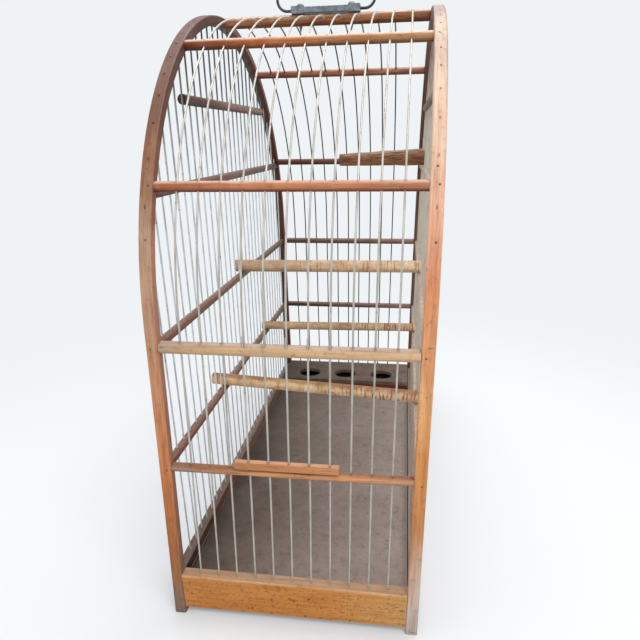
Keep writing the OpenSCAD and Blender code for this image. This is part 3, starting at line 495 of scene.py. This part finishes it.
def peeled_wood(name, tones, gnawed, gnaw_hex="#7A4A30", rough=0.62, trodden=0.2, under=0.8, seed=0.0):
    """Bare wood: soft streaks, grey grease where it is trodden, and dark cross marks of beaks that
    thicken to the right. tones is a list of (metres along X, hex colour)."""
    finish, tree, shader = new_finish(name)
    coords = add(tree, "ShaderNodeTexCoord")
    place = coords.outputs["Object"]
    run = add(tree, "ShaderNodeSeparateXYZ", {0: place}).outputs[0]
    fibre = add(tree, "ShaderNodeMapping",
                {"Vector": place, "Location": (seed, seed, seed), "Scale": (0.06, 1.0, 1.0)}).outputs[0]
    fine = add(tree, "ShaderNodeTexNoise",
               {"Vector": fibre, "Scale": 800, "Detail": 5, "Roughness": 0.65}).outputs[0]
    patch = add(tree, "ShaderNodeTexNoise",
                {"Vector": place, "Scale": 75, "Detail": 5, "Roughness": 0.68}).outputs[0]
    first, last = tones[0][0], tones[-1][0]
    along = add(tree, "ShaderNodeMapRange", {0: run, 1: first, 2: last}).outputs[0]
    colour = add(tree, "ShaderNodeValToRGB", {0: along},
                 stops=[((at - first) / (last - first), c) for at, c in tones]).outputs[0]
    greasy = add(tree, "ShaderNodeMapRange", {0: patch, 1: 0.42, 2: 0.66, 4: 0.55}).outputs[0]
    streaked = add(tree, "ShaderNodeMapRange", {0: fine, 1: 0.45, 2: 0.68, 4: 0.4}).outputs[0]
    upwards = add(tree, "ShaderNodeSeparateXYZ", {0: coords.outputs["Normal"]}).outputs[2]
    above = add(tree, "ShaderNodeMath", {0: patch, 1: 0.8, 2: upwards}, operation="MULTIPLY_ADD").outputs[0]
    above = add(tree, "ShaderNodeMapRange", {0: above, 1: 0.75, 2: 1.3, 4: trodden}).outputs[0]
    # Painted shade: undersides are darkened.
    underside_shade = add(tree, "ShaderNodeMapRange", {0: upwards, 1: -0.1, 2: -0.85, 4: under}).outputs[0]
    # Gnawed rings 1.5 mm wide, 3.7 mm apart where they are thickest.
    rounds = add(tree, "ShaderNodeTexWave",
                 {"Vector": place, "Scale": 85, "Distortion": 3, "Detail": 2, "Detail Scale": 0.6},
                 bands_direction="X").outputs[1]
    ring = add(tree, "ShaderNodeVectorMath", {0: place, 1: (1.0, 0.2, 0.2)},
               operation="MULTIPLY").outputs[0]
    ring = add(tree, "ShaderNodeTexNoise",
               {"Vector": ring, "Scale": 340, "Detail": 3, "Roughness": 0.6}).outputs[0]
    ring = add(tree, "ShaderNodeMath", {0: rounds, 1: 0.14, 2: ring}, operation="MULTIPLY_ADD").outputs[0]
    rarer = add(tree, "ShaderNodeMapRange", {0: along, 1: 0.1, 2: 1.0, 3: 0.76, 4: 0.60}).outputs[0]
    ring = add(tree, "ShaderNodeMath", {0: ring, 1: rarer}, operation="SUBTRACT").outputs[0]
    ring = add(tree, "ShaderNodeMapRange", {0: ring, 1: -0.02, 2: 0.07, 4: gnawed}).outputs[0]
    for share, hex_colour, blend in (
            (greasy, "#B89A84", "MULTIPLY"), (streaked, "#B0845C", "MULTIPLY"),
            (above, "#A08A78", "MULTIPLY"), (underside_shade, "#C8C0A8", "MULTIPLY"), (ring, gnaw_hex, "MIX")):
        colour = add(tree, "ShaderNodeMix", {0: share, 6: colour, 7: linear(hex_colour)},
                     data_type="RGBA", blend_type=blend).outputs[2]
    relief = add(tree, "ShaderNodeMath", {0: fine, 1: ring}, operation="SUBTRACT").outputs[0]
    bump = add(tree, "ShaderNodeBump", {"Height": relief, "Strength": 0.5, "Distance": 0.0005}).outputs[0]
    feed(tree, shader, {"Base Color": colour, "Roughness": rough, "Normal": bump, "IOR": 1.5,
                        "Specular IOR Level": 0.3})
    return finish


paint(["middle_perch"], peeled_wood(
    "middle_perch_wood", [(-0.11, "#C2A080"), (-0.03, "#DCBE9C"), (0.04, "#F4CEA8"), (0.105, "#FADCB8")],
    gnawed=0.5, seed=0.2))
paint(["front_perch"], peeled_wood(
    "front_perch_wood", [(-0.11, "#E4BE90"), (0.0, "#F8D8A8"), (0.105, "#F0CAA4")], gnaw_hex="#8A5A48",
    gnawed=0.9, trodden=0.9, under=0.2, seed=0.5))
paint(["back_perch"], peeled_wood(
    "back_perch_wood", [(-0.11, "#D0B088"), (0.0, "#D6B890"), (0.105, "#E6C498")], gnaw_hex="#86583E",
    gnawed=0.9, trodden=0.4, under=0.5, seed=0.8))

# ---------------------------------------------------------------- Branch
# A length of real branch with its bark on, sawn square at both ends and slit to go over a wire. It
# tapers, swells at old knots and is grooved lengthwise.

BRANCH_LEFT = Vector((0.0025, 0.096, 0.35885))
BRANCH_RIGHT = Vector((0.1025, 0.096, 0.36135))
THIN_RADIUS, THICK_RADIUS = 0.0068, 0.0093
SLICES = 96
# The most that bark stands out from the wood's round.
BARK_OUT = 0.0006
# Place along the branch from 0 to 1, way round it, and swelling of each old knot.
KNOTS = ((0.20, 0.6, 0.0012), (0.52, 2.4, 0.0010), (0.78, -0.7, 0.0014))
# The slit over the wire: where it starts, its length out past the sawn end, its width, and a height
# that cuts right through the branch.
SLIT_X, SLIT_LONG, SLIT_WIDE, SLIT_TALL = 0.09875, 0.0125, 0.0024, 0.04

bark = bmesh.new()
length = (BRANCH_RIGHT - BRANCH_LEFT).length
bmesh.ops.create_cone(bark, cap_ends=True, segments=72, radius1=THIN_RADIUS, radius2=THICK_RADIUS,
                      depth=length, matrix=Matrix.Translation((0, 0, length / 2)))
for cap in [f for f in bark.faces if len(f.verts) > 4]:
    bmesh.ops.inset_region(bark, faces=[cap], thickness=0.0007, depth=0.0)
for step in range(1, SLICES):
    bmesh.ops.bisect_plane(bark, geom=bark.verts[:] + bark.edges[:] + bark.faces[:],
                           plane_co=(0, 0, length * step / SLICES), plane_no=(0, 0, 1))
for v in bark.verts:
    share = v.co.z / length
    radius = Vector((v.co.x, v.co.y)).length
    # The corners of the caps' insets lie inside the bark and stay where they are.
    if radius < THIN_RADIUS + (THICK_RADIUS - THIN_RADIUS) * share - 0.0002:
        continue
    turn = math.atan2(v.co.y, v.co.x)
    # Low ridges, crumbs, and narrow grooves of up to 0.55 mm that waver along the branch.
    ridge = noise.noise(Vector((math.cos(turn) * 4.2, math.sin(turn) * 4.2, share * 3.0)))
    crumb = noise.noise(Vector((math.cos(turn) * 9, math.sin(turn) * 9, share * 26)))
    fissure = 1 - abs(noise.noise(Vector((math.cos(turn) * 7 + 5, math.sin(turn) * 7, share * 4.5)))) * 2
    grown = -0.0004 + ridge * 0.0005 + crumb * 0.0002 - max(0, fissure - 0.75) * 0.0022
    for at, where, swell in KNOTS:
        grown += swell * math.exp((math.cos(turn - where) - 1) * 3.2 - ((share - at) * 13) ** 2)
    # At the very ends nothing stands out from the round.
    grown = min(grown, BARK_OUT if abs(share - 0.5) < 0.49 else 0.0)
    v.co.x *= (radius + grown) / radius
    v.co.y *= (radius + grown) / radius
stand = (BRANCH_RIGHT - BRANCH_LEFT).normalized().to_track_quat("Z", "Y").to_matrix().to_4x4()
bmesh.ops.transform(bark, matrix=Matrix.Translation(BRANCH_LEFT) @ stand, verts=bark.verts)
bmesh.ops.recalc_face_normals(bark, faces=bark.faces)
bark_mesh = bpy.data.meshes.new("bark_of_branch")
bark.to_mesh(bark_mesh)
bark.free()
branch = bpy.data.objects.new("bark_of_branch", bark_mesh)
bpy.context.collection.objects.link(branch)

slit = bmesh.new()
slit_middle = Matrix.Translation((SLIT_X + SLIT_LONG / 2, BRANCH_RIGHT.y, BRANCH_RIGHT.z))
slit_size = Matrix.Diagonal((SLIT_LONG, SLIT_WIDE, SLIT_TALL, 1))
bmesh.ops.create_cube(slit, size=1.0, matrix=slit_middle @ slit_size)
slit_mesh = bpy.data.meshes.new("saw_slit")
slit.to_mesh(slit_mesh)
slit.free()
saw = bpy.data.objects.new("saw_slit", slit_mesh)
bpy.context.collection.objects.link(saw)
cut = branch.modifiers.new("slit", "BOOLEAN")
cut.operation, cut.solver, cut.object = "DIFFERENCE", "MANIFOLD", saw
bpy.context.view_layer.update()
branch.data = bpy.data.meshes.new_from_object(branch.evaluated_get(bpy.context.evaluated_depsgraph_get()))
branch.modifiers.clear()
branch.data.materials.clear()
bpy.data.objects.remove(saw)

# Bark: dark brown, darker in its grooves and pale brown on its ridges, partly painted shade and highlight,
# and painted paler grey on top as a highlight.
bark_finish, tree, shader = new_finish("rough_bark")
coords = add(tree, "ShaderNodeTexCoord")
place = coords.outputs["Object"]
fibre = add(tree, "ShaderNodeVectorMath", {0: place, 1: (0.16, 1.0, 1.0)}, operation="MULTIPLY").outputs[0]
groove = add(tree, "ShaderNodeTexNoise",
             {"Vector": fibre, "Scale": 520, "Detail": 6, "Roughness": 0.68}).outputs[0]
blotch = add(tree, "ShaderNodeTexNoise",
             {"Vector": place, "Scale": 110, "Detail": 5, "Roughness": 0.65}).outputs[0]
colour = add(tree, "ShaderNodeValToRGB", {0: groove}, stops=[
    (0.32, "#3E2618"), (0.44, "#784C30"), (0.58, "#98684A"), (0.72, "#BC9474")]).outputs[0]
upwards = add(tree, "ShaderNodeSeparateXYZ", {0: coords.outputs["Normal"]}).outputs[2]
top_highlight = add(tree, "ShaderNodeMath", {0: blotch, 1: upwards}, operation="MULTIPLY").outputs[0]
top_highlight = add(tree, "ShaderNodeMapRange", {0: top_highlight, 1: 0.22, 2: 0.50, 4: 0.7}).outputs[0]
colour = add(tree, "ShaderNodeMix", {0: top_highlight, 6: colour, 7: linear("#B0A090")}, data_type="RGBA").outputs[2]
bump = add(tree, "ShaderNodeBump", {"Height": groove, "Strength": 0.8, "Distance": 0.0009}).outputs[0]
feed(tree, shader, {"Base Color": colour, "Roughness": 0.9, "Normal": bump})
branch.data.materials.append(bark_finish)

# Sawn ends: pale wood with year rings 2 mm apart round the branch's middle.
RINGS_Z = 0.36
sawn_finish, tree, shader = new_finish("sawn_branch_end")
place = add(tree, "ShaderNodeTexCoord").outputs["Object"]
centred = add(tree, "ShaderNodeMapping",
              {"Vector": place, "Location": (0, -BRANCH_LEFT.y, -RINGS_Z)}).outputs[0]
rings = add(tree, "ShaderNodeTexWave", {"Vector": centred, "Scale": 160, "Distortion": 1.5, "Detail": 2},
            wave_type="RINGS", rings_direction="X").outputs[1]
colour = add(tree, "ShaderNodeMix", {0: rings, 6: linear("#B08E68"), 7: linear("#8A6444")},
             data_type="RGBA").outputs[2]
feed(tree, shader, {"Base Color": colour, "Roughness": 0.85})
branch.data.materials.append(sawn_finish)
for face in branch.data.polygons:
    face.use_smooth = abs(face.normal.x) < 0.9
    face.material_index = 0 if abs(face.normal.x) < 0.9 else 1
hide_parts("bark_branch")
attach(branch, "cage")

# ---------------------------------------------------------------- Feeder shelf
# A thin board at the far end with three holes for seed and water cups. It was never varnished, and
# is grey-brown from husks, water and dust. The riser and the cleats under it are a redder brown.

paint(["feeder_shelf"], peeled_wood(
    "shelf_board", [(-0.1, "#4E443C"), (-0.03, "#6E6258"), (0.05, "#7A6C60"), (0.1, "#877A6E")],
    gnaw_hex="#3E342C", gnawed=0.3, rough=0.85, seed=1.1))
paint(["feeder_riser", "feeder_cleats"], old_varnish(
    "riser_wood", "X", [(-0.1, "#5E3420"), (0.0, "#7A4028"), (0.1, "#6A3A28")],
    grain_mm=1.4, wear_and_edge_highlight_hex="#9A6A4A", top_light_and_dust_hex="#7A6A5E", gloss=0.6, stained=False, gnawed=0.05, seed=3.3))

# ---------------------------------------------------------------- Tray
# A thin panel that slides on two runners, with a strip along its left edge that closes the slot. Its
# face is stained a mauve grey-brown, with fine dried dirt all over and darker along the left side.

tray_dirt, tree, shader = new_finish("dirty_panel")
place = add(tree, "ShaderNodeTexCoord").outputs["Object"]
# Clouds of 7 cm, blotches of 8 mm and crumbs of under 2 mm.
cloud, blotch, crumb = [
    add(tree, "ShaderNodeTexNoise",
        {"Vector": place, "Scale": scale, "Detail": detail, "Roughness": rough}).outputs[0]
    for scale, detail, rough in ((14, 4, 0.55), (130, 7, 0.75), (620, 4, 0.7))]
across = add(tree, "ShaderNodeSeparateXYZ", {0: place}).outputs[0]
across = add(tree, "ShaderNodeMath", {0: cloud, 1: 0.10, 2: across}, operation="MULTIPLY_ADD").outputs[0]
across = add(tree, "ShaderNodeMapRange", {0: across, 1: -0.05, 2: 0.15}).outputs[0]
colour = add(tree, "ShaderNodeValToRGB", {0: across}, stops=[
    (0.0, "#40342C"), (0.22, "#64564C"), (0.6, "#80726A"), (1.0, "#9A8C82")]).outputs[0]
pale = add(tree, "ShaderNodeMapRange", {0: blotch, 1: 0.50, 2: 0.70, 4: 0.45}).outputs[0]
dark = add(tree, "ShaderNodeMapRange", {0: blotch, 1: 0.48, 2: 0.32, 4: 0.5}).outputs[0]
dried = add(tree, "ShaderNodeMapRange", {0: crumb, 1: 0.54, 2: 0.72, 4: 0.4}).outputs[0]
for share, hex_colour, blend in (
        (pale, "#EBD6CC", "SOFT_LIGHT"), (dark, "#9A8A80", "MULTIPLY"), (dried, "#4A4038", "MIX")):
    colour = add(tree, "ShaderNodeMix", {0: share, 6: colour, 7: linear(hex_colour)},
                 data_type="RGBA", blend_type=blend).outputs[2]
bump = add(tree, "ShaderNodeBump", {"Height": crumb, "Strength": 0.6, "Distance": 0.0008}).outputs[0]
feed(tree, shader, {"Base Color": colour, "Roughness": 0.88, "Normal": bump})
paint(["tray_floor"], tray_dirt)
paint(["tray_runners", "tray_batten"], peeled_wood(
    "batten_wood", [(-0.1, "#7A6656"), (0.1, "#84705E")], gnawed=0.2, rough=0.8, seed=1.4))

# ---------------------------------------------------------------- Handle
# A flat iron bar on the ridge, held in two folded sheet clips by domed screws. The bail's ends turn in
# the bar. The bar is blue-grey with handling, and the bail's wire is dark grey.

paint(["handle_bar", "handle_clips"], old_iron(
    "handle_iron", "#8E959C", "#5E646C", "#5A4A40", metallic=0.4, rough=0.5))
paint(["handle_screws"], old_iron(
    "screw_iron", "#70747A", "#505458", "#4A3428", metallic=0.7, rough=0.45))
paint(["handle_bail"], old_iron(
    "bail_iron", "#4A4A4C", "#303032", "#3A2A22", metallic=0.5, rough=0.5))

# ---------------------------------------------------------------- Studio
# A pale floor and soft light from above and in front, and the photograph's camera. Far from the cage
# the floor is as white as the world, so that no line shows between them.

WHITE = "#EFF3F5"


def seen_by_camera(tree):
    """1 for rays from the camera, also off gloss or through glass, and 0 for all others."""
    rays = add(tree, "ShaderNodeLightPath").outputs
    seen = rays["Is Camera Ray"]
    for kind in ("Is Glossy Ray", "Is Transmission Ray"):
        seen = add(tree, "ShaderNodeMath", {0: seen, 1: rays[kind]}, operation="MAXIMUM").outputs[0]
    return seen


bpy.ops.mesh.primitive_plane_add(size=8, location=(0, 0, 0))
floor = bpy.context.object
floor.name = "studio_floor"
floor_paint, tree, shader = new_finish("pale_floor")
feed(tree, shader, {"Base Color": linear("#E8E9EA"), "Roughness": 0.9})
away = add(tree, "ShaderNodeTexCoord").outputs["Object"]
away = add(tree, "ShaderNodeVectorMath", {0: away}, operation="LENGTH").outputs["Value"]
away = add(tree, "ShaderNodeMapRange", {0: away, 1: 0.30, 2: 0.85, 3: 0.25, 4: 1.0},
           interpolation_type="SMOOTHSTEP").outputs[0]
white_share = add(tree, "ShaderNodeMath", {0: seen_by_camera(tree), 1: away}, operation="MULTIPLY").outputs[0]
glow = add(tree, "ShaderNodeEmission", {"Color": linear(WHITE), "Strength": 1.0}).outputs[0]
both = add(tree, "ShaderNodeMixShader", {0: white_share, 1: shader.outputs[0], 2: glow}).outputs[0]
feed(tree, tree.nodes["Material Output"], {0: both})
floor.data.materials.append(floor_paint)

world = bpy.data.worlds.new("studio_world")
bpy.context.scene.world = world
world.use_nodes = True
tree = world.node_tree
tree.nodes.clear()
soft = add(tree, "ShaderNodeBackground", {"Color": linear("#F4F8FF"), "Strength": 0.5}).outputs[0]
white = add(tree, "ShaderNodeBackground", {"Color": linear(WHITE), "Strength": 1.0}).outputs[0]
both = add(tree, "ShaderNodeMixShader", {0: seen_by_camera(tree), 1: soft, 2: white}).outputs[0]
add(tree, "ShaderNodeOutputWorld", {0: both})


def lamp(name, place, aim, size, power):
    """A square soft lamp that points at a spot."""
    data = bpy.data.lights.new(name, "AREA")
    data.size, data.energy = size, power
    made = bpy.data.objects.new(name, data)
    bpy.context.collection.objects.link(made)
    turn = (Vector(aim) - Vector(place)).to_track_quat("-Z", "Y").to_matrix().to_4x4()
    made.matrix_world = Matrix.Translation(place) @ turn


lamp("key", (0.9, -1.2, 1.9), aim=(0, 0, 0.25), size=0.9, power=20)
lamp("fill", (-1.6, -1.0, 0.9), aim=(0, 0, 0.25), size=1.2, power=6)
lamp("top", (0.1, 0.4, 2.0), aim=(0, 0, 0.2), size=1.2, power=24)

# The photograph's camera, solved from points on rods, feet and boards: place in metres, turns in
# radians, and focal length and shift in pixels of a picture this wide.
CAMERA_PLACE = Vector((0.0795845, -0.6217327, 0.3832166))
YAW, PITCH, ROLL = 0.145, -0.4174, -0.0158
PHOTO_WIDE, FOCAL, SHIFT = 640, 569.164, 70

view = bpy.data.cameras.new("photo_view")
view.sensor_width = 36
view.lens = FOCAL / PHOTO_WIDE * view.sensor_width
view.shift_y = SHIFT / PHOTO_WIDE
camera = bpy.data.objects.new("photo_camera", view)
bpy.context.collection.objects.link(camera)
right = Vector((math.cos(YAW), math.sin(YAW), 0))
ahead = Vector((-math.sin(YAW), math.cos(YAW), 0))
up = Vector((0, 0, 1))
look = ahead * math.cos(PITCH) + up * math.sin(PITCH)
over = up * math.cos(PITCH) - ahead * math.sin(PITCH)
camera_right = right * math.cos(ROLL) + over * math.sin(ROLL)
camera_up = over * math.cos(ROLL) - right * math.sin(ROLL)
turn = Matrix((camera_right, camera_up, -look)).transposed().to_4x4()
camera.matrix_world = Matrix.Translation(CAMERA_PLACE) @ turn
bpy.context.scene.camera = camera
bpy.context.scene.view_settings.view_transform = "Standard"
